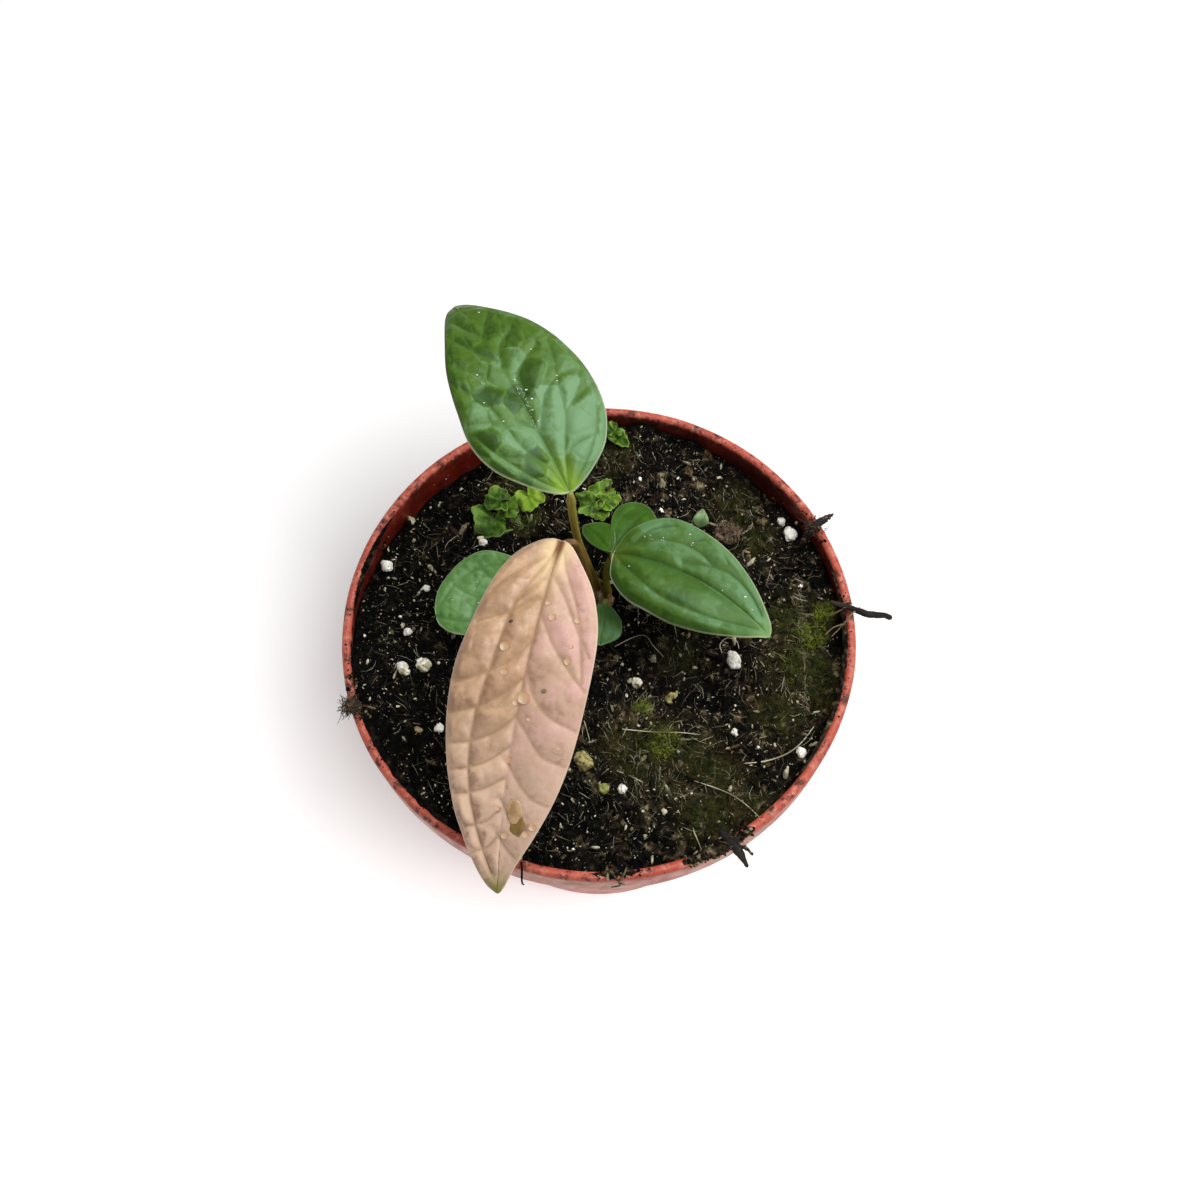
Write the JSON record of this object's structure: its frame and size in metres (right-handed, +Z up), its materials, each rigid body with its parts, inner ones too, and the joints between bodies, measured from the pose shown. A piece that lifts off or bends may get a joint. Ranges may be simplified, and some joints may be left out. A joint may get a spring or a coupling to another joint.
{
  "type": "potted anthurium arisaemoides",
  "caption": "Young aroid in a round tapered nursery pot of soil: a quilted green leaf, a bronze new leaf hanging over the rim, a lobed leaf, low leaves and small weeds.",
  "frame": {"origin": "centre of the underside of the pot's base, on the surface that it stands on", "axes": "+Z up along the pot's axis, -Y towards the viewer of the picture, +X to the viewer's right"},
  "size_m": [0.0751, 0.0725, 0.0895],
  "materials": {
    "pot_plastic": "satin moulded plastic, orange-red",
    "soil_mix": "damp dark fibrous potting mix",
    "leaf_green": "waxy green leaf with quilting and pale veins",
    "leaf_bronze": "soft bronze-pink new leaf, satin",
    "leaf_stalk": "olive-brown waxy stalk",
    "root": "matt cream root",
    "weed": "fresh green, slightly glossy",
    "perlite": "matt white porous grain",
    "granule": "matt ochre grain",
    "bark": "dark weathered bark and root fibre"
  },
  "bodies": {
    "root": {"pot": "pot_plastic", "soil": "soil_mix", "stem_roots": "root", "petiole_upper": "leaf_stalk", "petiole_bronze": "leaf_stalk", "petiole_right": "leaf_stalk", "petiole_low_left": "leaf_stalk", "petiole_low_front": "leaf_stalk", "blade_upper": "leaf_green", "blade_bronze": "leaf_bronze", "blade_right": "leaf_green", "blade_low_left": "leaf_green", "blade_low_front": "leaf_green", "liverwort_left": "weed", "liverwort_back": "weed", "seedling_back": "weed", "sprout_back": "weed", "perlite_01": "perlite", "perlite_02": "perlite", "perlite_03": "perlite", "perlite_04": "perlite", "perlite_05": "perlite", "perlite_06": "perlite", "perlite_07": "perlite", "perlite_08": "perlite", "perlite_09": "perlite", "perlite_10": "perlite", "perlite_11": "perlite", "perlite_12": "perlite", "perlite_13": "perlite", "perlite_14": "perlite", "perlite_15": "perlite", "perlite_16": "perlite", "granule_front": "granule", "granule_small": "granule", "granule_chip": "granule", "twig_right": "bark", "bark_back_right": "bark", "bark_left": "bark", "bark_front_right": "bark", "fibre_clump": "bark"}
  },
  "joints": []
}
